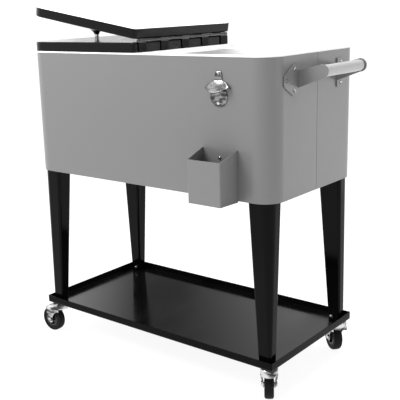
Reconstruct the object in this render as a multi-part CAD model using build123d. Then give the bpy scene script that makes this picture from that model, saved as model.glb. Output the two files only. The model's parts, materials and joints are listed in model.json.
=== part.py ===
from build123d import *
import math
import os

# ------------------------------------------------------------------ driving sizes, mm
# cabinet
body_l = 800.0
body_w = 400.0
body_r = 50.0
body_h = 333.0
body_z = 510.0
shell_t = 1.0
seam_gap = 1.2
seam_strip_w = 30.0
base_t = 1.2
base_up = 6.0
base_flange = 14.0
# tub
wall_t = 30.0
liner_t = 3.0
tub_r = 35.0
tub_floor_r = 14.0
rim_t = 4.0
rim_w = 12.0
rebate_h = 13.0
bar_w = 20.0
# lids
lid_h = 25.0
lid_t = 1.0
lid_split = 2.0
lid_edge_r = 4.0
lid_hinge_corner_r = 8.0
plug_in = 15.0
plug_h = 11.0
plug_wall = 2.5
plug_band = 42.0
plug_recess = 15.0
# hinge
axis_up = 4.0
barrel_r = 3.9
pin_r = 2.0
leaf_t = 0.9
leaf_w = 19.0
knuckle_n = 13
hinge_end = 14.0
tab_t = 1.6
# lid knobs
knob_from_hinge = 333.0
knob_h = 31.0
knob_post_r = 7.2
knob_head_r = 20.0
knob_dome = 5.0
# end handles
foot_in = 91.5
foot_out = 153.0
foot_h = 70.0
foot_tip_h = 23.0
foot_drop = 56.0
arm_h = 40.0
arm_end_r = 16.0
grip_off = 64.0
grip_rise = 20.0
grip_r = 13.5
plate_t = 3.0
# bottle opener
opener_x = 257.0
opener_drop = 74.0
opener_top = 42.0
opener_screw_up = 36.0
opener_screw_down = 31.5
# catch bin
bin_w = 101.0
bin_front_w = 94.0
bin_depth = 66.0
bin_back_h = 124.0
bin_front_h = 104.0
bin_low = 3.0
bin_t = 1.0
# legs
leg_inset = 10.0
leg_foot_inset = 13.0
leg_top_x = 65.0
leg_top_y = 50.0
leg_foot_x = 35.0
leg_foot_y = 27.0
leg_top_r = 26.0
leg_foot_r = 7.0
leg_inner_r = 8.0
leg_foot_inner_r = 5.0
leg_t = 1.5
# tray
ride_h = 100.0
tray_less = 2.0
tray_rim = 20.0
tray_t = 1.5
# casters
wheel_r = 37.5
wheel_w = 24.0
hub_r = 22.0
trail = 30.0
crown_r = 22.0
stem_r = 6.0
stem_in = 11.0
fork_t = 2.2
fork_low = 20.0
wheel_side_gap = 0.4
axle_head_r = 6.5
kingpin_r = 5.0
axle_r = 4.0
swivel_rest = {"fl": 182.0, "fr": 123.0, "rl": 160.0, "rr": 142.0}
# screws
screw_r = 2.0
screw_head_r = 4.2
screw_head_h = 2.2
screw_bite = 10.0

# ------------------------------------------------------------------ fits
loose = 0.3
snug = 0.05
run = 0.06
seat = 0.2

# ------------------------------------------------------------------ levels
shell_top = body_z + body_h
foot_z = shell_top - foot_drop
opener_z = shell_top - opener_drop
rim_top = shell_top + rim_t
ledge = rim_top - rebate_h
tub_floor = body_z + wall_t
lid_low = rim_top + seat
lid_top = lid_low + lid_h
axis_z = lid_top + axis_up
base_z = body_z + base_up
tray_top = ride_h + tray_t
front = -body_w / 2
half_l = body_l / 2
half_w = body_w / 2
corners = {"fl": (-1, -1), "fr": (1, -1), "rl": (-1, 1), "rr": (1, 1)}


def prism(length, width, radius, low, high):
    """An upright block with rounded corners on the cabinet's axis."""
    return Pos(0, 0, low) * extrude(RectangleRounded(length, width, radius), high - low)


def inset_block(inset, low, high, radius=None):
    """The cabinet's outline moved in by inset, between two heights."""
    r = body_r - inset if radius is None else radius
    return prism(body_l - 2 * inset, body_w - 2 * inset, max(r, 2.0), low, high)


def tube_y(radius, y0, y1, x=0.0, z=0.0):
    """A cylinder along Y between y0 and y1."""
    return Pos(x, y1, z) * Rot(90, 0, 0) * Cylinder(radius, y1 - y0, align=(Align.CENTER, Align.CENTER, Align.MIN))


def tube_x(radius, x0, x1, y=0.0, z=0.0):
    """A cylinder along X between x0 and x1."""
    return Pos(x0, y, z) * Rot(0, 90, 0) * Cylinder(radius, x1 - x0, align=(Align.CENTER, Align.CENTER, Align.MIN))


def disc(radius, low, high, x=0.0, y=0.0):
    """A cylinder along Z between two heights."""
    return Pos(x, y, low) * Cylinder(radius, high - low, align=(Align.CENTER, Align.CENTER, Align.MIN))


def span(x0, x1, y0, y1, z0, z1):
    """A box between two corners."""
    return Pos((x0 + x1) / 2, (y0 + y1) / 2, (z0 + z1) / 2) * Box(x1 - x0, y1 - y0, z1 - z0)


def cross_screw(shank=10.0, r=screw_r, head_r=screw_head_r, head_h=screw_head_h):
    """A domed cross-head screw standing on Z = 0, with its shank going down."""
    head = disc(head_r, 0, head_h)
    head = fillet(head.edges().group_by(Axis.Z)[-1], head_h * 0.7)
    slot = Box(head_r * 1.1, head_r * 0.26, head_h)
    slot += Box(head_r * 0.26, head_r * 1.1, head_h)
    return head - Pos(0, 0, head_h) * slot + disc(r, -shank, 0)


def front_screw(x, z, y, shank=10.0):
    """A screw driven into the front, its head's underside at y."""
    return Pos(x, y, z) * Rot(90, 0, 0) * cross_screw(shank)


# ------------------------------------------------------------------ fastener places
opener_holes = [(opener_x, opener_z + opener_screw_up), (opener_x, opener_z - opener_screw_down)]
bin_z = body_z - bin_low
bin_holes = [(opener_x, bin_z + bin_back_h - 23.0), (opener_x, bin_z + bin_back_h - 73.0)]
foot_holes = [
    (foot_in + 17.5, foot_z + 25.0),
    (foot_in + 50.5, foot_z),
    (foot_in + 17.5, foot_z - 25.0),
]


def leg_point(kx, ky, up):
    """A point measured in from a leg's outer corner at the top (up = 1) or the foot (up = 0)."""
    inset = leg_foot_inset + (leg_inset - leg_foot_inset) * up
    return half_l - inset - kx, half_w - inset - ky


pivot = leg_point(stem_in, stem_in, 0)
leg_bolt_places = [leg_point(leg_top_x + 11.0, leg_top_y / 2, 1), leg_point(leg_top_x / 2, leg_top_y + 11.0, 1)]


# ------------------------------------------------------------------ cabinet
def cabinet_shell():
    s = inset_block(0, body_z, shell_top) - inset_block(shell_t, body_z, shell_top)
    s -= span(half_l - 3, half_l + 3, -seam_gap / 2, seam_gap / 2, body_z, shell_top)
    for x, z in opener_holes + bin_holes:
        s -= tube_y(screw_r + snug, front - 5, front + 5, x, z)
    for y, z in foot_holes:
        for side in (-1, 1):
            s -= tube_x(screw_r + snug, -half_l - 5, half_l + 5, side * y, z)
    return s


def seam_strip():
    x = half_l - shell_t
    return span(x - 1.0, x, -seam_strip_w / 2, seam_strip_w / 2, base_z + base_flange + 4, shell_top - 2)


def cabinet_base():
    i = shell_t + snug
    s = inset_block(i, base_z, base_z + base_flange)
    s -= inset_block(i + base_t, base_z + base_t, base_z + base_flange)
    for x, y in leg_bolt_places:
        for sx, sy in corners.values():
            s -= disc(3.1, base_z, base_z + base_t, sx * x, sy * y)
    return s


def insulation_foam():
    i = shell_t + base_t + 0.8
    s = inset_block(i, base_z + base_t + 4, ledge - liner_t - loose)
    o = wall_t - liner_t - 0.5
    s -= inset_block(o, tub_floor - liner_t - 0.5, ledge, tub_r + liner_t)
    deep = shell_t + screw_bite
    for x, z in opener_holes + bin_holes:
        s -= tube_y(screw_r + loose, front, front + deep, x, z)
    for y, z in foot_holes:
        for sx, sy in corners.values():
            x0, x1 = sorted((sx * (half_l - deep), sx * half_l))
            s -= tube_x(screw_r + loose, x0, x1, sy * y, z)
    return s


def inner_liner():
    s = inset_block(wall_t - liner_t, tub_floor - liner_t, ledge, tub_r + liner_t)
    s = fillet(s.faces().sort_by(Axis.Z)[0].edges(), tub_floor_r + liner_t)
    s += inset_block(rim_w - liner_t, ledge - liner_t, rim_top)
    s += inset_block(0, shell_top, rim_top)
    s = fillet(s.faces().sort_by(Axis.Z)[-1].edges(), 1.2)
    tub = inset_block(wall_t, tub_floor, ledge, tub_r)
    tub = fillet(tub.faces().sort_by(Axis.Z)[0].edges(), tub_floor_r)
    return s - tub - inset_block(rim_w, ledge, rim_top)


def centre_bar():
    y = half_w - rim_w - loose
    s = span(-bar_w / 2, bar_w / 2, -y, y, ledge, rim_top)
    s = fillet(s.edges().filter_by(Axis.Y), 1.5)
    for y0, y1 in knuckles(0):
        s -= span(-tab_t / 2 - snug, tab_t / 2 + snug, y0 - snug, y1 + snug, rim_top - 10, rim_top)
    return s


# ------------------------------------------------------------------ centre hinge
def knuckles(kind):
    """The Y spans of every third knuckle: 0 fixed, 1 left lid, 2 right lid."""
    reach = half_w - hinge_end
    pitch = 2 * reach / knuckle_n
    return [(-reach + i * pitch + 0.2, -reach + (i + 1) * pitch - 0.2) for i in range(kind, knuckle_n, 3)]


def hinge_carrier():
    s = None
    for y0, y1 in knuckles(0):
        k = tube_y(barrel_r, y0, y1, 0, axis_z)
        k += span(-tab_t / 2, tab_t / 2, y0, y1, rim_top - 10 + snug, axis_z - pin_r)
        k -= tube_y(pin_r + 0.01, y0, y1, 0, axis_z)
        s = k if s is None else s + k
    return s


def hinge_pin():
    reach = half_w - hinge_end
    pin = tube_y(pin_r, -reach - 1.5, reach + 1.5, 0, axis_z)
    return pin + tube_y(pin_r + 1.2, -reach - 3.5, -reach - 0.3, 0, axis_z)


def leaf_screw_places():
    reach = half_w - hinge_end - 26
    return [(leaf_w - 6.5, -reach + 2 * reach * i / 5) for i in range(6)]


def hinge_leaf(kind):
    """The right-hand leaf, lying on its lid, with the knuckles of its kind."""
    reach = half_w - hinge_end
    s = span(barrel_r + 0.8, leaf_w, -reach, reach, lid_top, lid_top + leaf_t)
    for y0, y1 in knuckles(kind):
        k = tube_y(barrel_r, y0, y1, 0, axis_z)
        k += span(0, leaf_w - 8, y0, y1, axis_z - barrel_r, lid_top + leaf_t)
        s += k - tube_y(pin_r + run, y0, y1, 0, axis_z)
    for x, y in leaf_screw_places():
        s -= disc(1.5 + snug, lid_top, lid_top + leaf_t, x, y)
    return s


def leaf_screws():
    screw = cross_screw(6.0, 1.5, 2.8, 1.1)
    return Compound([Pos(x, y, lid_top + leaf_t) * screw for x, y in leaf_screw_places()])


# ------------------------------------------------------------------ one lid, closed on the right
def lid_block(inset, low, high, edge=0.0):
    """The right half of the cabinet's outline, moved in by inset, as a block."""
    x0 = lid_split + inset
    x1 = half_l - inset
    f = Pos((x0 + x1) / 2, 0) * Rectangle(x1 - x0, body_w - 2 * inset)
    f = fillet(f.vertices().group_by(Axis.X)[-1], max(body_r - inset, 3.0))
    f = fillet(f.vertices().group_by(Axis.X)[0], max(lid_hinge_corner_r - inset, 2.0))
    s = Pos(0, 0, low) * extrude(f, high - low)
    if edge:
        s = fillet(s.faces().sort_by(Axis.Z)[-1].edges(), edge)
    return s


def lid_pan():
    s = lid_block(0, lid_low, lid_top, lid_edge_r)
    s -= lid_block(lid_t, lid_low, lid_top - lid_t, lid_edge_r - lid_t)
    s -= disc(3.0 + snug, lid_top - lid_t, lid_top, knob_from_hinge, 0)
    for x, y in leaf_screw_places():
        s -= disc(1.5 + snug, lid_top - lid_t, lid_top, x, y)
    return s


def lid_liner():
    edge = lid_t + seat
    inner = plug_in + plug_band
    low = lid_low - plug_h
    recess = low + plug_recess
    s = lid_block(edge, lid_low + seat, lid_low + 3.0)
    s += lid_block(plug_in, low, lid_low + 3.0)
    s += lid_block(inner - plug_wall, lid_low, recess + plug_wall)
    s = fillet(s.faces().sort_by(Axis.Z)[0].edges(), 2.0)
    s -= lid_block(inner, low, recess)
    ring = lid_block(plug_in + plug_wall, low + plug_wall, lid_low + 3.0)
    return s - (ring - lid_block(inner - plug_wall, low, recess + plug_wall))


def lid_foam():
    inner = plug_in + plug_band
    low = lid_low - plug_h
    recess = low + plug_recess
    s = lid_block(lid_t + 0.5, lid_low + 3.0 + loose, lid_top - lid_t - loose, lid_edge_r - lid_t)
    s += lid_block(plug_in + plug_wall + loose, low + plug_wall + loose, lid_low + 6.0)
    s -= lid_block(inner - plug_wall - loose, low, recess + plug_wall + loose)
    s -= disc(5.0, lid_top - 14, lid_top, knob_from_hinge, 0)
    for x, y in leaf_screw_places():
        s -= disc(2.5, lid_top - 10, lid_top, x, y)
    return s


def lid_knob():
    dome_r = (knob_head_r ** 2 + knob_dome ** 2) / (2 * knob_dome)
    top = knob_h - knob_dome
    with BuildSketch(Plane.XZ) as profile:
        with BuildLine():
            a = Line((0, 0), (knob_post_r, 0))
            b = Line(a @ 1, (knob_post_r, 10))
            c = ThreePointArc(b @ 1, (knob_post_r + 3.6, 18.0), (knob_head_r, top - 3))
            d = Line(c @ 1, (knob_head_r, top))
            e = ThreePointArc(d @ 1, (knob_head_r / 2, knob_h - dome_r + math.sqrt(dome_r ** 2 - knob_head_r ** 2 / 4)), (0, knob_h))
            Line(e @ 1, (0, 0))
        make_face()
    s = revolve(profile.sketch, Axis.Z)
    s += disc(3.0, -10, 0)
    return Pos(knob_from_hinge, 0, lid_top) * s


def knob_tilt():
    """The angle between the lids when the two knob domes meet head to head."""
    dome_r = (knob_head_r ** 2 + knob_dome ** 2) / (2 * knob_dome)
    up = knob_h - axis_up - dome_r
    reach = math.hypot(knob_from_hinge, up)
    return math.degrees(2 * math.atan2(up, knob_from_hinge) + 2 * math.asin((dome_r + seat / 2) / reach))


def as_left(s):
    """The closed left lid's copy of a right-hand piece."""
    return mirror(s, about=Plane.YZ)


def as_open(s):
    """A right-hand lid piece turned back over the left lid until the knobs meet."""
    return Pos(0, 0, axis_z) * Rot(0, knob_tilt() - 180, 0) * Pos(0, 0, -axis_z) * s


# ------------------------------------------------------------------ front fittings
def bottle_opener():
    y = front - loose
    plate = Pos(opener_x, opener_z + 29) * RectangleRounded(20, 26, 6)
    plate += Pos(opener_x, opener_z - 16) * Circle(25)
    plate += Pos(opener_x, opener_z) * Ellipse(31, 22)
    s = Pos(0, y, 0) * Rot(90, 0, 0) * extrude(plate, 2.5)
    hood = scale(Sphere(1.0), by=(34.0, 25.0, 23.0)) - scale(Sphere(1.0), by=(31.0, 22.0, 20.5))
    hood = Pos(opener_x, y - 1.0, opener_z - 2) * hood
    hood &= span(opener_x - 40, opener_x + 40, y - 30, y - 1.0, opener_z - 6, opener_z + 30)
    hood -= tube_y(9.0, y - 40, y - 8, opener_x - 15, opener_z - 9)
    s += hood
    for x, z in opener_holes:
        s -= tube_y(screw_r + snug, y - 10, y + 2, x, z)
    return s


def opener_screws():
    y = front - loose - 2.5
    return Compound([front_screw(x, z, y) for x, z in opener_holes])


def bin_shape(inset, low):
    """The bin's tapered plan, moved in by inset, as an upright block."""
    y0 = front - loose - inset
    y1 = front - loose - bin_depth + inset
    back = bin_w / 2 - inset
    nose = bin_front_w / 2 - inset
    f = Polygon((-back, y0), (-nose, y1), (nose, y1), (back, y0), align=None)
    f = fillet(f.vertices().group_by(Axis.Y)[0], 2.5 - inset)
    return Pos(opener_x, 0, low) * extrude(f, bin_back_h + bin_z - low)


def catch_bin():
    s = bin_shape(0, bin_z) - bin_shape(bin_t, bin_z + bin_t)
    y0 = front - loose - bin_t
    y1 = front - loose - bin_depth - 1
    top = bin_z + bin_back_h
    slope = Plane.YZ * Polygon((y1, bin_z + bin_front_h), (y0, top), (y0, top + 1), (y1, top + 1), align=None)
    s -= Pos(opener_x - bin_w, 0, 0) * extrude(slope, 2 * bin_w)
    for x, z in bin_holes:
        s -= tube_y(screw_r + snug, front - 5, front + 2, x, z)
    return s


def bin_screws():
    y = front - loose - bin_t
    return Compound([front_screw(x, z, y) for x, z in bin_holes])


# ------------------------------------------------------------------ end handles, built at the right rear
def handle_bracket():
    x = half_l + loose
    z = foot_z
    h = foot_h / 2
    t = foot_tip_h / 2
    foot = Polygon(
        (foot_in, z - h), (foot_in + 24, z - h), (foot_out, z - t), (foot_out, z + t),
        (foot_in + 24, z + h), (foot_in, z + h), align=None,
    )
    foot = fillet(foot.vertices().sort_by(Axis.X)[-2:], 6.0)
    s = Pos(x, 0, 0) * extrude(Plane.YZ * foot, plate_t)
    cx = half_l + grip_off
    cz = z + grip_rise
    arm = Polygon((x, z - arm_h / 2), (cx, cz - arm_end_r), (cx, cz + arm_end_r), (x, z + arm_h / 2), align=None)
    arm += Pos(cx, cz) * Circle(arm_end_r)
    s += Pos(0, foot_in + plate_t, 0) * extrude(Plane.XZ * arm, plate_t)
    for y, hz in foot_holes:
        s -= tube_x(screw_r + snug, x - 1, x + plate_t + 1, y, hz)
    return s


def handle_grip():
    cx = half_l + grip_off
    cz = foot_z + grip_rise
    s = tube_y(grip_r, -foot_in + seat, foot_in - seat, cx, cz)
    s = fillet(s.edges().filter_by(GeomType.CIRCLE), 1.0)
    return s - tube_y(grip_r - 1.5, -foot_in + 6, foot_in - 6, cx, cz)


def handle_screws():
    x = half_l + loose + plate_t
    screw = Rot(0, 90, 0) * cross_screw(10.0)
    return Compound([Pos(x, side * y, z) * screw for y, z in foot_holes for side in (-1, 1)])


# ------------------------------------------------------------------ legs, built at the right rear
def leg_outline(up, inset):
    """The leg's section at the top (up = 1) or the foot (up = 0), moved in by inset."""
    ax = leg_foot_x + (leg_top_x - leg_foot_x) * up - 2 * inset
    by = leg_foot_y + (leg_top_y - leg_foot_y) * up - 2 * inset
    big = leg_foot_r + (leg_top_r - leg_foot_r) * up - inset
    small = leg_foot_inner_r + (leg_inner_r - leg_foot_inner_r) * up - inset
    x, y = leg_point(inset + ax / 2, inset + by / 2, up)
    f = Rectangle(ax, by)
    outer = f.vertices().sort_by(lambda v: v.X + v.Y)[-1]
    f = fillet(outer, big)
    rest = [v for v in f.vertices() if ax / 2 - abs(v.X) < 0.01 and by / 2 - abs(v.Y) < 0.01]
    return Pos(x, y, tray_top if up == 0 else base_z) * fillet(rest, small)


def leg_tube(inset):
    return loft([leg_outline(0, inset), leg_outline(1, inset)], ruled=True)


def leg():
    s = leg_tube(0) - leg_tube(leg_t)
    s += leg_tube(0) & span(0, half_l, 0, half_w, tray_top, tray_top + 4.0)
    x0, y0 = leg_point(leg_top_x + 20, leg_top_y + 20, 1)
    x1, y1 = leg_point(0, 0, 1)
    flange = Pos((x0 + x1) / 2, (y0 + y1) / 2, base_z - 2.0) * extrude(
        RectangleRounded(x1 - x0, y1 - y0, leg_inner_r), 2.0)
    s += flange & inset_block(shell_t + 3.0, body_z, base_z)
    s -= disc(stem_r + snug, tray_top, tray_top + 4.0, *pivot)
    for x, y in leg_bolt_places:
        s -= disc(3.1, base_z - 2.0, base_z, x, y)
    x, z = foot_screw_place
    return s - tube_y(screw_r + snug, 0, pivot[1], x, z)


foot_screw_place = (pivot[0] - 12.0, tray_top + 12.0)


def foot_screw_seat():
    """Where the leg's inner face is, at the height of the foot screw."""
    up = (foot_screw_place[1] - tray_top) / (base_z - tray_top)
    low = leg_point(0, leg_foot_y, 0)[1]
    high = leg_point(0, leg_top_y, 1)[1]
    return low + (high - low) * up


def foot_screws():
    x, z = foot_screw_place
    nut = disc(5.5, 0, 3.5) + Pos(0, 0, 3.5) * (Sphere(4.6) & span(-9, 9, -9, 9, -0.5, 9))
    nut += disc(screw_r, -6, 0)
    one = Pos(x, foot_screw_seat() - 0.45, z) * Rot(90, 0, 0) * nut
    return Compound(four(one))


def leg_bolts():
    bolt = extrude(RegularPolygon(5.8, 6), -3.5) + disc(3.0, 0, 5.0)
    each = [Pos(x, y, base_z - 2.0) * bolt for x, y in leg_bolt_places]
    return Compound([b for one in each for b in four(one)])


def four(s):
    """A right rear piece and its three mirrored copies."""
    left = mirror(s, about=Plane.YZ)
    return [s, left, mirror(s, about=Plane.XZ), mirror(left, about=Plane.XZ)]


def at_corner(s, name):
    """A right rear piece mirrored to the named corner."""
    sx, sy = corners[name]
    s = s if sx > 0 else mirror(s, about=Plane.YZ)
    return s if sy > 0 else mirror(s, about=Plane.XZ)


def shelf_tray():
    tl = body_l - tray_less
    s = span(-tl / 2, tl / 2, -half_w, half_w, ride_h, ride_h + tray_rim)
    s = fillet(s.edges().filter_by(Axis.Z), 2.5)
    s = fillet(s.faces().sort_by(Axis.Z)[0].edges(), 1.2)
    i = tray_t
    s -= span(-tl / 2 + i, tl / 2 - i, -half_w + i, half_w - i, tray_top, ride_h + tray_rim)
    for sx, sy in corners.values():
        s -= disc(stem_r + snug, ride_h, tray_top, sx * pivot[0], sy * pivot[1])
    return s


# ------------------------------------------------------------------ one caster, pivot on Z, wheel towards +X
crown_low = 77.0
crown_top = ride_h - 3.0 - loose


def caster_stem():
    s = disc(18.0, ride_h - 3.0, ride_h) + disc(stem_r, ride_h, tray_top + 15.0)
    s = chamfer(s.edges().group_by(Axis.Z)[-1], 1.0)
    s += disc(kingpin_r, crown_low - 0.5, ride_h - 3.0)
    return s + disc(kingpin_r + 2.5, crown_low - 2.6, crown_low - loose)


def fork_reach(z, inset=0.0):
    """Half the fork's width at a height, moved in by inset."""
    foot = wheel_w / 2 + wheel_side_gap + fork_t
    return foot + (crown_r - foot) * (z - fork_low) / (crown_low + 3.0 - fork_low) - inset


def fork_wedge(inset):
    """A block as wide as the fork, narrowing from its crown to the axle."""
    high = crown_low + 3.0
    top = fork_reach(high, inset)
    foot = fork_reach(fork_low, inset)
    f = Polygon((-top, high), (-foot, fork_low), (foot, fork_low), (top, high), align=None)
    return Pos(-60, 0, 0) * extrude(Plane.YZ * f, 140)


def fork_side():
    """The fork's side outline, extruded right across."""
    with BuildSketch(Plane.XZ) as outline:
        with BuildLine():
            a = Line((trail + 11, crown_low + 3), (trail + 11, wheel_r))
            b = ThreePointArc(a @ 1, (trail, wheel_r - 10.5), (trail - 10, wheel_r + 3))
            c = ThreePointArc(b @ 1, (trail - 18, wheel_r + 20), (-10, crown_low - 8))
            d = Line(c @ 1, (-10, crown_low + 3))
            Line(d @ 1, a @ 0)
        make_face()
    return Pos(0, 40, 0) * extrude(outline.sketch, 80)


def caster_fork():
    high = crown_low + 3.0
    s = fork_side() & (fork_wedge(0.0) - fork_wedge(fork_t))
    s += disc(crown_r, crown_low, high) & span(-60, 60, -60, 60, 0, 200)
    s += fork_side() & span(0, trail + 11, -crown_r, crown_r, crown_low, high)
    cup = disc(crown_r, high, crown_top)
    cup = fillet(cup.edges().group_by(Axis.Z)[-1], 5.0)
    s += cup
    s -= disc(kingpin_r + run, crown_low, crown_top)
    return s - tube_y(axle_r + 0.01, -60, 60, trail, wheel_r)


def caster_axle():
    reach = fork_reach(wheel_r + axle_head_r) + 0.1
    s = tube_y(axle_r, -reach, reach, trail, wheel_r)
    for side in (-1, 1):
        y0, y1 = sorted((side * reach, side * (reach + 3.0)))
        head = tube_y(axle_head_r, y0, y1, trail, wheel_r)
        outer = head.edges().filter_by(GeomType.CIRCLE).sort_by(Axis.Y)[-1 if side > 0 else 0]
        s += fillet(outer, 1.8)
    return s


def wheel_tyre():
    s = tube_y(wheel_r, -wheel_w / 2, wheel_w / 2, trail, wheel_r)
    s = fillet(s.edges().filter_by(GeomType.CIRCLE), 4.0)
    return s - tube_y(hub_r, -wheel_w / 2, wheel_w / 2, trail, wheel_r)


def wheel_hub():
    w = wheel_w / 2
    s = tube_y(hub_r - 0.01, -w + 1, w - 1, trail, wheel_r)
    for side in (-1, 1):
        y0, y1 = sorted((side * 4, side * w))
        s -= tube_y(hub_r - 4, y0, y1, trail, wheel_r) - tube_y(axle_r + 4, y0, y1, trail, wheel_r)
    s += tube_y(axle_r + 4, -w - 0.8, w + 0.8, trail, wheel_r)
    return s - tube_y(axle_r + run, -w - 2, w + 2, trail, wheel_r)


def at_pivot(s, name, turned=True):
    """A caster piece set under its corner, its wheel at the rest heading."""
    sx, sy = corners[name]
    return Pos(sx * pivot[0], sy * pivot[1], 0) * Rot(0, 0, swivel_rest[name] if turned else 0) * s


# ------------------------------------------------------------------ all pieces
def all_parts():
    parts = {
        "cabinet_shell": cabinet_shell(),
        "seam_strip": seam_strip(),
        "cabinet_base": cabinet_base(),
        "insulation_foam": insulation_foam(),
        "inner_liner": inner_liner(),
        "centre_bar": centre_bar(),
        "hinge_carrier": hinge_carrier(),
        "hinge_pin": hinge_pin(),
        "bottle_opener": bottle_opener(),
        "opener_screws": opener_screws(),
        "catch_bin": catch_bin(),
        "bin_screws": bin_screws(),
        "shelf_tray": shelf_tray(),
        "foot_screws": foot_screws(),
        "leg_bolts": leg_bolts(),
    }
    pieces = {"lid_pan": lid_pan(), "lid_liner": lid_liner(), "lid_foam": lid_foam(), "lid_knob": lid_knob()}
    pieces["hinge_screws"] = leaf_screws()
    for name, s in pieces.items():
        parts["left_" + name] = as_left(s)
        parts["right_" + name] = as_open(s)
    parts["left_hinge_leaf"] = as_left(hinge_leaf(1))
    parts["right_hinge_leaf"] = as_open(hinge_leaf(2))
    bracket, grip, screws = handle_bracket(), handle_grip(), handle_screws()
    for end, place in (("right", lambda s: s), ("left", lambda s: mirror(s, about=Plane.YZ))):
        parts[end + "_bracket_rear"] = place(bracket)
        parts[end + "_bracket_front"] = mirror(place(bracket), about=Plane.XZ)
        parts[end + "_grip"] = place(grip)
        parts[end + "_handle_screws"] = place(screws)
    one_leg = leg()
    stem, fork, axle, tyre, hub = caster_stem(), caster_fork(), caster_axle(), wheel_tyre(), wheel_hub()
    for name in corners:
        parts["leg_" + name] = at_corner(one_leg, name)
        parts["caster_stem_" + name] = at_pivot(stem, name, False)
        parts["caster_fork_" + name] = at_pivot(fork, name)
        parts["caster_axle_" + name] = at_pivot(axle, name)
        parts["caster_tyre_" + name] = at_pivot(tyre, name)
        parts["caster_hub_" + name] = at_pivot(hub, name)
    return parts


def main():
    os.makedirs("parts", exist_ok=True)
    parts = all_parts()
    boxes = [s.bounding_box() for s in parts.values()]
    middle = (min(b.min.Y for b in boxes) + max(b.max.Y for b in boxes)) / 2
    for name, s in parts.items():
        export_step(Pos(0, -middle, 0) * s, "parts/" + name + ".step")
    print(len(parts), "pieces, moved", -middle, "along Y, lid tilt", knob_tilt())


main()
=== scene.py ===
"""A rolling patio cooler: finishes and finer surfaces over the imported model."""

import json
import math

import bmesh
import bpy
import numpy as np
from bpy.props import FloatProperty, FloatVectorProperty, PointerProperty
from mathutils import Matrix, Vector


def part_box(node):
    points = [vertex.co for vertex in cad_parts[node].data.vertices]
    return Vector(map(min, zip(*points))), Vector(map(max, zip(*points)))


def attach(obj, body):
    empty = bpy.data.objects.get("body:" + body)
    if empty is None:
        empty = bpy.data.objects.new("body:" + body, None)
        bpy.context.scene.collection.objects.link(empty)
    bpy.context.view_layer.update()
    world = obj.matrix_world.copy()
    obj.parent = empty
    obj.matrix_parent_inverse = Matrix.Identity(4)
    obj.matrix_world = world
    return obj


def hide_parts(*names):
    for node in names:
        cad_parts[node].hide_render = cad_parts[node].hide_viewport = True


bl_info = {
    "name": "Patio cooler",
    "version": (1, 0, 0),
    "blender": (4, 5, 0),
    "location": "3D View > Sidebar > Cooler",
    "description": "Finishes a rolling patio cooler over its packed model",
    "category": "Object",
}

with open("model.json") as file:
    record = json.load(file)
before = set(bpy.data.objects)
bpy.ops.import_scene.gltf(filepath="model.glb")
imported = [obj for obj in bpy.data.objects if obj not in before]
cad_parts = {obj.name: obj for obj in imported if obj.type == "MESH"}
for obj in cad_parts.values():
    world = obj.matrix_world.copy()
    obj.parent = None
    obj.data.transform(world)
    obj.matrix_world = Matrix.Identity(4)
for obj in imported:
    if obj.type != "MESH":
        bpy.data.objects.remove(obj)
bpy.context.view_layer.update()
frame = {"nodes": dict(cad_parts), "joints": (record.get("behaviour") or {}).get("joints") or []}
NODES = frame["nodes"]
CORNERS = ("fl", "fr", "rl", "rr")
ENDS = ("left", "right")
CORNER_WORDS = {"fl": "front_left", "fr": "front_right", "rl": "rear_left", "rr": "rear_right"}


UP = (0.0, 0.0, 1.0)
# The camera's place from the cabinet's middle, and its turn in radians.
CAMERA_PLACE = (1.3295, -1.644, 0.9643)
YAW, PITCH, ROLL = 0.693, -0.245, -0.031
# Level directions away from the camera and to its right.
AWAY = (-math.sin(YAW), math.cos(YAW), 0.0)
ASIDE = (math.cos(YAW), math.sin(YAW), 0.0)
# The shelf's plate with a hair above it, and the height of the hinge barrel, in metres.
TRAY_PLATE = 0.0018
BARREL_HIGH = 0.009
# The opener's tab above the opener's middle, in metres.
TAB_HIGH = 0.042


# ------------------------------------------------------------------ what a user may change
def colour_of(label, words, value):
    return FloatVectorProperty(
        name=label, description=words, default=value, size=3, subtype="COLOR", min=0.0, max=1.0
    )


class CoolerFinish(bpy.types.PropertyGroup):
    """Colours and gloss of the cooler's finishes."""

    body: colour_of("Body grey", "Enamel of the cabinet's outer skin", (0.166, 0.166, 0.166))
    black: colour_of("Black", "Powder coat of the legs, shelf tray and lid pans", (0.0016, 0.0016, 0.0016))
    liner: colour_of("Liner", "Moulded plastic of the tub and the lid panels", (0.93, 0.93, 0.93))
    sheet: colour_of("Sheet grey", "Paint of the catch bin and the handle brackets", (0.17, 0.17, 0.17))
    steel: colour_of("Steel", "Steel of the hinge and the bolts", (0.5, 0.5, 0.5))
    grip: colour_of("Grip", "Paint of the two grip tubes", (0.37, 0.37, 0.37))
    chrome: colour_of("Chrome", "Polished metal of the knobs, opener and casters", (0.55, 0.55, 0.55))
    tyre: colour_of("Tyre", "Rubber of the wheels", (0.006, 0.006, 0.006))
    body_gloss: FloatProperty(
        name="Body roughness", description="Roughness of the grey enamel", default=0.33, min=0.0, max=1.0
    )
    black_gloss: FloatProperty(
        name="Black roughness", description="Roughness of the black coat", default=0.12, min=0.0, max=1.0
    )


class CoolerStudio(bpy.types.PropertyGroup):
    """The floor, the lights and the camera."""

    floor: colour_of("Floor", "Colour of the studio floor", (0.25, 0.25, 0.25))
    glow: FloatProperty(name="Floor glow", description="Light that the floor gives off", default=0.9, min=0.0)
    rear_air: FloatProperty(
        name="Rear air", description="Strength of the light behind and low down", default=1.05
    )
    front_air: FloatProperty(
        name="Front air", description="Strength of the even light from the front", default=0.5
    )
    lens: FloatProperty(
        name="Lens", description="Focal length in millimetres on a 36 mm sensor", default=70.03, min=1.0
    )


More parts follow.
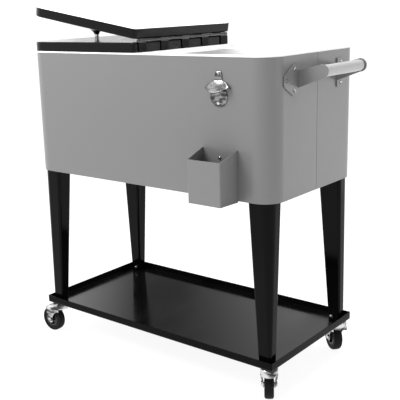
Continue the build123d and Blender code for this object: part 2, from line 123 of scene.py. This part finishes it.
# ------------------------------------------------------------------ node helpers
class Nodes:
    """Short ways to add nodes to a tree."""

    def __init__(self, tree, space):
        self.tree = tree
        self.place = tree.nodes.new("ShaderNodeTexCoord").outputs[space]

    def node(self, kind, inputs=(), **settings):
        made = self.tree.nodes.new(kind)
        for key, value in settings.items():
            setattr(made, key, value)
        for key, value in dict(inputs).items():
            if isinstance(value, bpy.types.NodeSocket):
                self.tree.links.new(value, made.inputs[key])
            else:
                made.inputs[key].default_value = value
        return made

    def along(self, direction):
        """Distance of the place along a direction."""
        made = self.node("ShaderNodeVectorMath", operation="DOT_PRODUCT")
        self.tree.links.new(self.place, made.inputs[0])
        made.inputs[1].default_value = direction
        return made.outputs["Value"]

    def maths(self, operation, a, b):
        made = self.node("ShaderNodeMath", operation=operation)
        self.tree.links.new(a, made.inputs[0])
        self.tree.links.new(b, made.inputs[1])
        return made.outputs[0]

    def stretched(self, scale):
        return self.node("ShaderNodeMapping", {"Vector": self.place, "Scale": scale}).outputs[0]

    def noise(self, scale, detail=3.0, rough=0.5, vector=None):
        settings = {"Vector": vector or self.place, "Scale": scale, "Detail": detail, "Roughness": rough}
        return self.node("ShaderNodeTexNoise", settings).outputs[0]

    def cells(self, scale, vector=None):
        settings = {"Vector": vector or self.place, "Scale": scale}
        return self.node("ShaderNodeTexVoronoi", settings).outputs["Distance"]

    def spread(self, value, low, high, a=0.3, b=0.7):
        """Carries value from a..b to low..high."""
        settings = {"Value": value, "From Min": a, "From Max": b, "To Min": low, "To Max": high}
        return self.node("ShaderNodeMapRange", settings).outputs[0]

    def tint(self, value, first, second):
        """Colour between first and second, by value from 0 to 1."""
        made = self.node("ShaderNodeMix", data_type="RGBA")
        self.tree.links.new(value, made.inputs["Factor"])
        made.inputs[6].default_value = (*first, 1.0)
        made.inputs[7].default_value = (*second, 1.0)
        return made.outputs[2]

    def relief(self, height, strength, distance):
        settings = {"Height": height, "Strength": strength, "Distance": distance}
        return self.node("ShaderNodeBump", settings).outputs[0]


class Shader(Nodes):
    """A node material that reads Object coordinates."""

    def __init__(self, name):
        self.material = bpy.data.materials.new(name)
        self.material.use_nodes = True
        tree = self.material.node_tree
        tree.nodes.clear()
        super().__init__(tree, "Object")
        self.surface = tree.nodes.new("ShaderNodeBsdfPrincipled")
        out = tree.nodes.new("ShaderNodeOutputMaterial")
        tree.links.new(self.surface.outputs[0], out.inputs["Surface"])

    def set(self, **values):
        for key, value in values.items():
            socket = self.surface.inputs[key.replace("_", " ")]
            if isinstance(value, bpy.types.NodeSocket):
                self.tree.links.new(value, socket)
            else:
                socket.default_value = value
        return self.material


def scaled(colour, share):
    return tuple(min(1.0, c * share) for c in colour)


# ------------------------------------------------------------------ finishes
def satin_enamel(name, colour, rough):
    """Sprayed enamel: a faint orange peel, cloudy gloss and very slight tone drift."""
    s = Shader(name)
    drift = s.spread(s.noise(2.2, 2.0), 0.0, 1.0)
    clouds = s.maths("ADD", s.noise(9.0, 4.0), s.noise(60.0, 2.0))
    gloss = s.spread(clouds, rough * 0.88, rough * 1.14, 0.7, 1.3)
    skin = s.relief(s.noise(60.0, 1.0, 0.4), 0.012, 0.0004)
    return s.set(
        Base_Color=s.tint(drift, scaled(colour, 0.985), scaled(colour, 1.015)),
        Roughness=gloss,
        Specular_IOR_Level=0.5,
        Coat_Weight=0.3,
        Coat_Roughness=0.12,
        Normal=skin,
    )


def black_coat(name, colour, rough, specular=0.16):
    """Gloss black powder coat: a tight pebble skin and faint dust in the gloss."""
    s = Shader(name)
    pebble = s.relief(s.noise(650.0, 2.0, 0.5), 0.06, 0.0005)
    dust = s.spread(s.noise(30.0, 5.0, 0.6), rough * 0.8, rough * 1.35)
    return s.set(
        Base_Color=s.tint(s.spread(s.noise(6.0), 0.0, 1.0), colour, scaled(colour, 1.6)),
        Roughness=dust,
        Specular_IOR_Level=specular,
        Normal=pebble,
    )


def tray_coat(name, colour, rough, height):
    """Black coat that is polished on the shelf's floor, up to a height, and duller on its rim."""
    s = Shader(name)
    up = s.along(UP)
    speck = s.noise(520.0, 3.0, 0.7)
    smear = s.spread(s.noise(5.0, 3.0, 0.5, s.stretched((1.0, 0.35, 1.0))), rough * 0.5, rough * 2.2)
    return s.set(
        Base_Color=s.tint(s.spread(speck, 0.0, 1.0, 0.45, 0.75), colour, scaled(colour, 6.0)),
        Roughness=smear,
        Specular_IOR_Level=s.spread(up, 0.5, 0.05, height, height + 0.0006),
        Normal=s.relief(speck, 0.05, 0.0004),
    )


def moulded_plastic(name, colour, rough):
    """Smooth moulded plastic with slight flow clouds and fine scuffs."""
    s = Shader(name)
    cloud = s.spread(s.noise(4.0, 3.0), 0.0, 1.0)
    scuff = s.spread(s.noise(90.0, 5.0, 0.65, s.stretched((1.0, 5.0, 1.0))), rough * 0.85, rough * 1.2)
    skin = s.relief(s.noise(700.0, 2.0), 0.03, 0.0004)
    return s.set(
        Base_Color=s.tint(cloud, scaled(colour, 0.98), scaled(colour, 1.01)),
        Roughness=scuff,
        Specular_IOR_Level=0.4,
        Normal=skin,
    )


def bright_metal(name, colour, rough, grain=(1.0, 1.0, 1.0)):
    """Bare or plated metal: fine drawn lines along the long side of the grain scale."""
    s = Shader(name)
    drawn = s.noise(220.0, 4.0, 0.6, s.stretched(grain))
    gloss = s.spread(drawn, rough * 0.7, rough * 1.4)
    return s.set(
        Base_Color=s.tint(s.spread(s.noise(14.0), 0.0, 1.0), scaled(colour, 0.94), scaled(colour, 1.05)),
        Metallic=1.0,
        Roughness=gloss,
        Normal=s.relief(drawn, 0.02, 0.0003),
    )


def chrome_with_painted_reflections(name, colour, rough, low=0.2, scale=22.0):
    """Bright plate that mirrors the room, with painted reflections: cloudy dark and light tone bands in its
    colour stand in for a dark and light room seen in it, over fine grain and a thin relief.
    """
    s = Shader(name)
    # Painted reflection: the colour swings from the dark share to a bright one in these noise bands, standing
    # in for a mirrored dark and light room.
    painted_reflection_bands = s.noise(scale, 2.0, 0.4, s.stretched((1.0, 1.0, 2.2)))
    grain = s.noise(260.0, 4.0, 0.6)
    return s.set(
        Base_Color=s.tint(s.spread(painted_reflection_bands, 0.0, 1.0, 0.38, 0.6), scaled(colour, low), scaled(colour, 1.45)),
        Metallic=1.0,
        Roughness=s.spread(grain, rough * 0.75, rough * 1.3),
        Normal=s.relief(grain, 0.03, 0.0002),
    )


def black_hinge_with_painted_highlight(name, steel, black, height):
    """The fixed hinge knuckles: black paint below a height, bare rolled steel above it; the steel band on the
    barrel's top is partly a painted highlight, standing in for the thin light line the barrel catches.
    """
    s = Shader(name)
    up = s.along(UP)
    # Painted highlight: a thin lighter band of bare steel along the barrel's top, above the given height.
    steel_top_as_painted_highlight = s.spread(up, 0.0, 1.0, height - 0.0004, height + 0.0004)
    return s.set(
        Base_Color=s.tint(steel_top_as_painted_highlight, black, steel),
        Metallic=steel_top_as_painted_highlight,
        Roughness=s.spread(s.noise(240.0, 4.0), 0.3, 0.4),
        Specular_IOR_Level=0.1,
    )


def tread_rubber(name, colour):
    """Dull rubber with a grainy skin and scuffed dust."""
    s = Shader(name)
    grain = s.relief(s.noise(900.0, 3.0), 0.2, 0.0004)
    dust = s.spread(s.noise(45.0, 5.0, 0.65), 0.0, 1.0, 0.5, 0.8)
    return s.set(
        Base_Color=s.tint(dust, colour, scaled(colour, 1.8)),
        Roughness=s.spread(s.noise(120.0), 0.5, 0.7),
        Specular_IOR_Level=0.12,
        Normal=grain,
    )


def cell_foam(name):
    """Rigid closed-cell foam: a fine cell pattern."""
    s = Shader(name)
    return s.set(
        Base_Color=s.tint(s.spread(s.cells(400.0), 0.0, 1.0, 0.0, 0.6), (0.8, 0.76, 0.6), (0.9, 0.87, 0.74)),
        Roughness=0.9,
        Normal=s.relief(s.cells(400.0), 0.4, 0.001),
    )


def finish_node(node, material):
    """Gives a CAD node one finish."""
    mesh = NODES[node].data
    mesh.materials.clear()
    mesh.materials.append(material)


# ------------------------------------------------------------------ surfaces
def skin_of(name, grid, closed=False):
    """A smooth mesh over a grid of points; closed joins the last column to the first."""
    rows, columns = grid.shape[:2]
    index = np.arange(rows * columns).reshape(rows, columns)
    right = np.roll(index, -1, axis=1)
    if not closed:
        index, right = index[:, :-1], right[:, :-1]
    faces = np.stack((index[:-1], right[:-1], right[1:], index[1:]), axis=-1).reshape(-1, 4)
    mesh = bpy.data.meshes.new(name)
    mesh.from_pydata(grid.reshape(-1, 3).tolist(), [], faces.tolist())
    shape = bmesh.new()
    shape.from_mesh(mesh)
    bmesh.ops.remove_doubles(shape, verts=shape.verts, dist=1e-6)
    bmesh.ops.recalc_face_normals(shape, faces=shape.faces)
    shape.to_mesh(mesh)
    shape.free()
    mesh.shade_smooth()
    made = bpy.data.objects.new(name, mesh)
    bpy.context.collection.objects.link(made)
    return made


def revolved(name, profile, middle, axis, steps):
    """Carries a profile of (radius, distance along the axis) once round the axis through middle."""
    along = np.array(axis, float) / np.linalg.norm(axis)
    aside = np.cross(along, UP)
    aside /= np.linalg.norm(aside)
    up = np.cross(aside, along)
    turn = np.linspace(0.0, 2.0 * math.pi, steps, endpoint=False)
    spoke = np.cos(turn)[:, None] * aside + np.sin(turn)[:, None] * up
    grid = profile[:, :1, None] * spoke[None] + profile[:, 1, None, None] * along + np.array(middle)
    return skin_of(name, grid, closed=True)


# ------------------------------------------------------------------ operators
class Finishing:
    """What every finishing operator shares."""

    bl_options = {"REGISTER", "UNDO"}

    def execute(self, context):
        self.make(context.scene.cooler_finish)
        return {"FINISHED"}


class COOLER_OT_cabinet(Finishing, bpy.types.Operator):
    """Finish the grey cabinet, its base and its foam"""

    bl_idname = "cooler.cabinet"
    bl_label = "Cabinet"

    def make(self, f):
        finish_node("cabinet_shell", satin_enamel("cabinet_enamel", f.body, f.body_gloss))
        dark = satin_enamel("underside_black", (0.03, 0.03, 0.03), 0.4)
        for node in ("cabinet_base", "seam_strip"):
            finish_node(node, dark)
        finish_node("insulation_foam", cell_foam("cabinet_foam"))


class COOLER_OT_tub(Finishing, bpy.types.Operator):
    """Finish the white tub and its centre bar"""

    bl_idname = "cooler.tub"
    bl_label = "Tub"

    def make(self, f):
        for node in ("inner_liner", "centre_bar"):
            finish_node(node, moulded_plastic(node + "_white", f.liner, 0.34))


class COOLER_OT_lids(Finishing, bpy.types.Operator):
    """Finish both lids, their knobs and the centre hinge"""

    bl_idname = "cooler.lids"
    bl_label = "Lids and hinge"

    def make(self, f):
        pan = black_coat("lid_black", f.black, f.black_gloss)
        panel = moulded_plastic("lid_panel_white", f.liner, 0.34)
        foam = cell_foam("lid_foam")
        # Knobs: chrome with painted reflections in its colour.
        knob = chrome_with_painted_reflections("knob_chrome", f.chrome, 0.08)
        roll = bright_metal("hinge_roll", scaled(f.steel, 0.2), 0.18, (8.0, 0.4, 8.0))
        for side in ENDS:
            finish_node(side + "_lid_pan", pan)
            finish_node(side + "_lid_liner", panel)
            finish_node(side + "_lid_foam", foam)
            finish_node(side + "_lid_knob", knob)
            finish_node(side + "_hinge_leaf", roll)
            finish_node(side + "_hinge_screws", roll)
        # Above barrel_low the carrier is bare steel, a lighter band that partly stands in for the barrel's
        # highlight line.
        barrel_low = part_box("hinge_carrier")[1].z - BARREL_HIGH
        finish_node("hinge_carrier", black_hinge_with_painted_highlight("hinge_fixed", scaled(f.steel, 0.2), f.black, barrel_low))
        finish_node("hinge_pin", roll)


class COOLER_OT_stand(Finishing, bpy.types.Operator):
    """Finish the legs, the shelf tray and their bolts"""

    bl_idname = "cooler.stand"
    bl_label = "Stand"

    def make(self, f):
        coat = black_coat("stand_black", f.black, f.black_gloss, 0.08)
        floor_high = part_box("shelf_tray")[0].z + TRAY_PLATE
        for corner in CORNERS:
            finish_node("leg_" + corner, coat)
        finish_node("shelf_tray", tray_coat("tray_black", f.black, f.black_gloss, floor_high))
        finish_node("leg_bolts", bright_metal("bolt_zinc", f.steel, 0.18))
        # Foot nuts: chrome with painted reflections in its colour.
        finish_node("foot_screws", chrome_with_painted_reflections("foot_nut_chrome", f.chrome, 0.1))


class COOLER_OT_casters(Finishing, bpy.types.Operator):
    """Finish the four casters"""

    bl_idname = "cooler.casters"
    bl_label = "Casters"

    def make(self, f):
        # Caster plates: chrome with dark painted reflections in its colour.
        plate = chrome_with_painted_reflections("caster_plate", scaled(f.chrome, 0.8), 0.16, 0.1, 44.0)
        rubber = tread_rubber("wheel_rubber", f.tyre)
        hub = moulded_plastic("wheel_hub_black", (0.02, 0.02, 0.02), 0.35)
        for corner in CORNERS:
            for piece in ("stem_", "fork_", "axle_"):
                finish_node("caster_" + piece + corner, plate)
            self.tyre(corner, rubber)
            finish_node("caster_hub_" + corner, hub)

    def tyre(self, corner, rubber):
        """A ring about the axle: flat walls, round shoulders and a tread with two shallow grooves."""
        joint = next(j for j in frame["joints"] if j["name"] == "wheel_" + CORNER_WORDS[corner] + "_roll")
        low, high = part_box("caster_tyre_" + corner)
        outer, half, bore = (high.z - low.z) / 2, 0.012, 0.022
        shoulder, groove = 0.0045, 0.0007
        t = np.linspace(-1.0, 1.0, 49)
        dip = np.exp(-(((np.abs(t) - 0.5) / 0.05) ** 2))
        radius = outer - shoulder * np.abs(t) ** 6 - groove * dip
        ring = np.column_stack((radius, half * t))
        wall = np.array([(bore, -half * 0.94), (0.027, -half * 0.9), (0.030, -half)])
        profile = np.vstack((wall, ring, wall[::-1] * (1.0, -1.0), wall[:1]))
        made = revolved("tyre_" + corner, profile, joint["pos_m"], joint["axis"], 96)
        made.data.materials.append(rubber)
        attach(made, joint["child"])
        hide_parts("caster_tyre_" + corner)


class COOLER_OT_fittings(Finishing, bpy.types.Operator):
    """Finish the handles, the opener and the catch bin"""

    bl_idname = "cooler.fittings"
    bl_label = "Handles, opener and bin"

    def make(self, f):
        sheet = satin_enamel("bracket_grey", f.sheet, 0.35)
        tube = satin_enamel("grip_paint", f.grip, 0.33)
        # Screw heads: chrome with painted reflections in its colour.
        head = chrome_with_painted_reflections("screw_plate", f.chrome, 0.15, 0.15, 160.0)
        for side in ENDS:
            finish_node(side + "_bracket_front", sheet)
            finish_node(side + "_bracket_rear", sheet)
            self.grip(side, tube)
            finish_node(side + "_handle_screws", head)
        finish_node("catch_bin", satin_enamel("bin_grey", f.sheet, 0.35))
        finish_node("bin_screws", head)
        finish_node("opener_screws", head)
        # Opener plate and hood: chrome with painted reflections in their colour, darker on the plate.
        plate = chrome_with_painted_reflections("opener_plate_chrome", scaled(f.chrome, 0.36), 0.2, 0.3, 70.0)
        hood = chrome_with_painted_reflections("opener_hood_chrome", scaled(f.chrome, 0.38), 0.2, 0.6, 50.0)
        for made, chrome in ((self.opener_plate(), plate), (self.opener_hood(), hood)):
            made.data.materials.append(chrome)
            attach(made, "cabinet")

    def grip(self, side, paint):
        """A capped tube along Y: its radius eases in by a quarter round towards each end."""
        low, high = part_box(side + "_grip")
        radius, half = (high.z - low.z) / 2, (high.y - low.y) / 2
        t = np.sin(np.linspace(-math.pi / 2, math.pi / 2, 121))
        cap = 0.007
        near_end = np.clip((np.abs(t) - 1.0) * half / cap + 1.0, 0.0, 1.0)
        roll = cap * (1.0 - np.sqrt(1.0 - near_end**2))
        skin = np.column_stack((radius - roll, half * t))
        profile = np.vstack(([(0.0, -half)], skin, [(0.0, half)]))
        middle = ((low.x + high.x) / 2, (low.y + high.y) / 2, (low.z + high.z) / 2)
        made = revolved(side + "_grip_tube", profile, middle, (0.0, 1.0, 0.0), 72)
        made.data.materials.append(paint)
        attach(made, "cabinet")
        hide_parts(side + "_grip")

    def opener_plate(self):
        """A plate whose edge, seen from its middle, is the further of a tab and a lower lobe."""
        low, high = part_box("bottle_opener")
        cx, cz, back = (low.x + high.x) / 2, high.z - TAB_HIGH, high.y
        turn = np.linspace(0.0, 2.0 * math.pi, 160, endpoint=False)
        sx, sz = np.cos(turn), np.sin(turn)
        drop, lobe = 0.0165, 0.0245
        round_edge = -drop * sz + np.sqrt(lobe**2 - (drop * sx) ** 2)
        tab = ((np.abs(sx) / 0.010) ** 6 + (np.abs(sz) / np.where(sz > 0, TAB_HIGH, 0.030)) ** 6) ** (-1 / 6)
        reach = np.maximum(round_edge, tab)
        steps = [(0.0, 0.0026), (0.5, 0.0026), (0.94, 0.0026), (0.985, 0.0022), (1.0, 0.0013), (1.0, 0.0)]
        share, thick = np.array(steps + [(0.5, 0.0), (0.0, 0.0)]).T
        grid = np.empty((len(share), len(turn), 3))
        grid[..., 0] = cx + share[:, None] * reach * sx
        grid[..., 1] = back - thick[:, None]
        grid[..., 2] = cz + share[:, None] * reach * sz
        made = skin_of("opener_plate", grid, closed=True)
        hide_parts("bottle_opener")
        return made

    def opener_hood(self):
        """A half cone that widens and stands out as it comes down to a waved lip."""
        low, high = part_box("bottle_opener")
        cx, cz, back = (low.x + high.x) / 2, high.z - TAB_HIGH, high.y - 0.0022
        down = np.linspace(0.0, 1.0, 33)[:, None]
        turn = np.linspace(-math.pi / 2, math.pi / 2, 65)[None, :]
        width = 0.0115 + 0.0235 * np.sin(down * math.pi / 2)
        out = 0.0012 + 0.0198 * down**1.25
        wave = 0.0026 * np.cos(3.6 * turn) * down**2
        side_lift = 0.006 * np.abs(np.sin(turn)) ** 4 * down
        grid = np.empty((33, 65, 3))
        grid[..., 0] = cx + width * np.sin(turn)
        grid[..., 1] = back - out * np.cos(turn) ** 0.8
        grid[..., 2] = cz + 0.021 - 0.0235 * down - wave + side_lift
        made = skin_of("opener_hood", grid)
        wall = made.modifiers.new("wall", "SOLIDIFY")
        wall.thickness = 0.0018
        wall.offset = -1.0
        return made


class COOLER_OT_stage(bpy.types.Operator):
    """Lay the studio floor, set the lights and the camera"""

    bl_idname = "cooler.stage"
    bl_label = "Stage"
    bl_options = {"REGISTER", "UNDO"}

    def execute(self, context):
        studio = context.scene.cooler_studio
        self.floor(studio)
        self.world(context.scene, studio)
        self.lights()
        self.camera(context.scene, studio)
        return {"FINISHED"}

    def floor(self, studio):
        """A flat square of 40 m at the ground."""
        mesh = bpy.data.meshes.new("studio_floor")
        half = 20.0
        corners = [(-half, -half, 0.0), (half, -half, 0.0), (half, half, 0.0), (-half, half, 0.0)]
        mesh.from_pydata(corners, [], [(0, 1, 2, 3)])
        floor = bpy.data.objects.new("studio_floor", mesh)
        bpy.context.collection.objects.link(floor)
        s = Shader("studio_paper")
        tone = s.tint(s.spread(s.noise(0.6), 0.0, 1.0), scaled(studio.floor, 0.98), studio.floor)
        s.set(Base_Color=tone, Roughness=0.9, Specular_IOR_Level=0.0)
        s.set(Emission_Color=(1.0, 1.0, 1.0, 1.0))
        s.set(Emission_Strength=studio.glow)
        mesh.materials.append(s.material)

    def world(self, scene, studio):
        """Air that is brighter behind, in bands across, and white along the floor's far edge."""
        world = bpy.data.worlds.new("studio_air")
        world.use_nodes = True
        back = world.node_tree.nodes["Background"]
        back.inputs["Color"].default_value = (1.0, 1.0, 1.0, 1.0)
        n = Nodes(world.node_tree, "Generated")
        rear = n.spread(n.along(AWAY), studio.front_air, studio.rear_air, -0.2, 0.5)
        left = n.spread(n.along(ASIDE), 1.5, 0.15, -0.17, -0.05)
        right = n.spread(n.along(ASIDE), 0.15, 0.8, 0.0, 0.14)
        across = n.maths("MAXIMUM", left, right)
        edge = n.spread(n.along(UP), studio.rear_air, 0.0, 0.06, 0.1)
        strength = n.maths("MAXIMUM", n.maths("MULTIPLY", rear, across), edge)
        n.tree.links.new(strength, back.inputs["Strength"])
        scene.world = world
        scene.view_settings.view_transform = "Standard"
        scene.view_settings.look = "None"

    def lights(self):
        """Soft boxes: name, place, target, width, height, watts."""
        boxes = (
            ("top_box", (0.2, 0.2, 2.6), (0.1, 0.1, 0.9), 1.6, 1.0, 44.0),
            ("left_box", (-0.7, -1.5, 2.0), (0.0, 0.0, 0.8), 1.2, 1.0, 36.0),
            ("right_box", (2.6, 0.4, 1.5), (0.3, 0.0, 0.7), 0.5, 1.6, 7.0),
            ("rear_panel", (1.3, 1.55, 0.6), (0.35, 0.0, 0.55), 0.8, 1.1, 1.2),
        )
        for name, place, target, wide, high, watts in boxes:
            data = bpy.data.lights.new(name, "AREA")
            data.shape = "RECTANGLE"
            data.size, data.size_y, data.energy = wide, high, watts
            lamp = bpy.data.objects.new(name, data)
            lamp.location = place
            lamp.rotation_euler = (Vector(target) - Vector(place)).to_track_quat("-Z", "Y").to_euler()
            bpy.context.collection.objects.link(lamp)

    def camera(self, scene, studio):
        """Right, up and forward from a yaw, a pitch and a small roll."""
        fwd = Vector((AWAY[0] * math.cos(PITCH), AWAY[1] * math.cos(PITCH), math.sin(PITCH)))
        side = fwd.cross(Vector(UP)).normalized()
        up = side.cross(fwd)
        right = math.cos(ROLL) * side + math.sin(ROLL) * up
        top = -math.sin(ROLL) * side + math.cos(ROLL) * up
        data = bpy.data.cameras.new("front_view")
        data.lens = studio.lens
        data.sensor_width = 36.0
        data.shift_x, data.shift_y = 0.05, -0.006
        camera = bpy.data.objects.new("front_view", data)
        turn = Matrix((right, top, -fwd)).transposed()
        middle = (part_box("cabinet_shell")[0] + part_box("cabinet_shell")[1]) / 2
        place = Vector(CAMERA_PLACE) + Vector((0.0, middle.y, 0.0))
        camera.matrix_world = Matrix.Translation(place) @ turn.to_4x4()
        bpy.context.collection.objects.link(camera)
        scene.camera = camera


OPERATORS = (
    COOLER_OT_cabinet,
    COOLER_OT_tub,
    COOLER_OT_lids,
    COOLER_OT_stand,
    COOLER_OT_casters,
    COOLER_OT_fittings,
    COOLER_OT_stage,
)


class COOLER_PT_sidebar(bpy.types.Panel):
    """The cooler's operators and settings."""

    bl_idname = "COOLER_PT_sidebar"
    bl_label = "Patio cooler"
    bl_space_type = "VIEW_3D"
    bl_region_type = "UI"
    bl_category = "Cooler"

    def draw(self, context):
        for made in OPERATORS:
            self.layout.operator(made.bl_idname)
        for group in (context.scene.cooler_finish, context.scene.cooler_studio):
            for key in group.bl_rna.properties.keys():
                if key not in ("name", "rna_type"):
                    self.layout.prop(group, key)


CLASSES = (CoolerFinish, CoolerStudio, *OPERATORS, COOLER_PT_sidebar)


def register():
    for made in CLASSES:
        bpy.utils.register_class(made)
    bpy.types.Scene.cooler_finish = PointerProperty(type=CoolerFinish)
    bpy.types.Scene.cooler_studio = PointerProperty(type=CoolerStudio)


def unregister():
    del bpy.types.Scene.cooler_studio
    del bpy.types.Scene.cooler_finish
    for made in reversed(CLASSES):
        bpy.utils.unregister_class(made)


def main():
    register()
    for made in OPERATORS:
        group, name = made.bl_idname.split(".")
        getattr(getattr(bpy.ops, group), name)()


if __name__ == "__main__":
    main()
